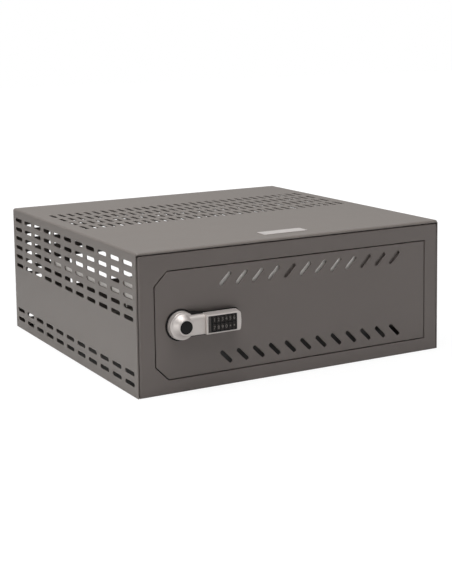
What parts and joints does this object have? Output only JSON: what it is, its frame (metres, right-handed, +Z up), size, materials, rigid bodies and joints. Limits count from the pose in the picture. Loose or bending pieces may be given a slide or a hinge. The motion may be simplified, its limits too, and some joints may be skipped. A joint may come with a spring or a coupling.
{
  "type": "dvr lockbox",
  "caption": "Ventilated sheet steel lockbox for a video recorder, with a hinged front door, a keypad lever lock with a cam, and a rear cable opening.",
  "frame": {"origin": "middle of the base, on the surface that the box stands on", "axes": "+Z up; the door faces -Y; +X is on the right-hand side of somebody in front of the door"},
  "size_m": [0.45, 0.4501, 0.178],
  "materials": {
    "case_coat": "fine-textured grey-brown powder coat",
    "front_coat": "fine-textured grey-brown powder coat",
    "satin_chrome": "satin chrome plate",
    "zinc": "zinc plate",
    "black_plastic": "satin black plastic",
    "key_rubber": "matt dark grey rubber",
    "nylon": "natural nylon",
    "circuit_board": "green solder mask",
    "cell_steel": "bright nickel plate"
  },
  "bodies": {
    "case": {"wrap_cover": "case_coat", "base_tray": "case_coat", "back_panel": "case_coat", "inner_shelf": "zinc", "front_frame": "front_coat", "hinge_pin_upper": "zinc"},
    "door": {"door_panel": "front_coat", "hinge_pin_lower": "zinc", "hinge_thrust_washer": "nylon", "lock_rose": "black_plastic", "lock_washer": "zinc", "lock_nut": "zinc"},
    "lever": {"lever_handle": "satin_chrome", "hub_cap": "black_plastic", "spindle": "zinc", "cam_tongue": "zinc", "cam_washer": "zinc", "cam_bolt": "zinc", "keypad_plate": "black_plastic", "keypad_board": "circuit_board", "battery_cell": "cell_steel", "battery_cover": "black_plastic"},
    "key_01": {"key_01": "key_rubber"},
    "key_02": {"key_02": "key_rubber"},
    "key_03": {"key_03": "key_rubber"},
    "key_04": {"key_04": "key_rubber"},
    "key_05": {"key_05": "key_rubber"},
    "key_06": {"key_06": "key_rubber"},
    "key_07": {"key_07": "key_rubber"},
    "key_08": {"key_08": "key_rubber"},
    "key_09": {"key_09": "key_rubber"},
    "key_10": {"key_10": "key_rubber"},
    "key_11": {"key_11": "key_rubber"},
    "key_12": {"key_12": "key_rubber"}
  },
  "joints": [
    {"name": "door_hinge", "type": "hinge", "parent": "case", "child": "door", "pos_m": [0.177, -0.2095, 0], "axis": [0, 0, 1], "range_deg": [0, 110]},
    {"name": "lever_turn", "type": "hinge", "parent": "door", "child": "lever", "pos_m": [-0.168, -0.216, 0.0843], "axis": [0, -1, 0], "range_deg": [0, 90]},
    {"name": "key_01_press", "type": "slide", "parent": "lever", "child": "key_01", "axis": [0, 1, 0], "range_m": [0, 0.0006], "stiffness_N_per_m": 400},
    {"name": "key_02_press", "type": "slide", "parent": "lever", "child": "key_02", "axis": [0, 1, 0], "range_m": [0, 0.0006], "stiffness_N_per_m": 400},
    {"name": "key_03_press", "type": "slide", "parent": "lever", "child": "key_03", "axis": [0, 1, 0], "range_m": [0, 0.0006], "stiffness_N_per_m": 400},
    {"name": "key_04_press", "type": "slide", "parent": "lever", "child": "key_04", "axis": [0, 1, 0], "range_m": [0, 0.0006], "stiffness_N_per_m": 400},
    {"name": "key_05_press", "type": "slide", "parent": "lever", "child": "key_05", "axis": [0, 1, 0], "range_m": [0, 0.0006], "stiffness_N_per_m": 400},
    {"name": "key_06_press", "type": "slide", "parent": "lever", "child": "key_06", "axis": [0, 1, 0], "range_m": [0, 0.0006], "stiffness_N_per_m": 400},
    {"name": "key_07_press", "type": "slide", "parent": "lever", "child": "key_07", "axis": [0, 1, 0], "range_m": [0, 0.0006], "stiffness_N_per_m": 400},
    {"name": "key_08_press", "type": "slide", "parent": "lever", "child": "key_08", "axis": [0, 1, 0], "range_m": [0, 0.0006], "stiffness_N_per_m": 400},
    {"name": "key_09_press", "type": "slide", "parent": "lever", "child": "key_09", "axis": [0, 1, 0], "range_m": [0, 0.0006], "stiffness_N_per_m": 400},
    {"name": "key_10_press", "type": "slide", "parent": "lever", "child": "key_10", "axis": [0, 1, 0], "range_m": [0, 0.0006], "stiffness_N_per_m": 400},
    {"name": "key_11_press", "type": "slide", "parent": "lever", "child": "key_11", "axis": [0, 1, 0], "range_m": [0, 0.0006], "stiffness_N_per_m": 400},
    {"name": "key_12_press", "type": "slide", "parent": "lever", "child": "key_12", "axis": [0, 1, 0], "range_m": [0, 0.0006], "stiffness_N_per_m": 400}
  ]
}
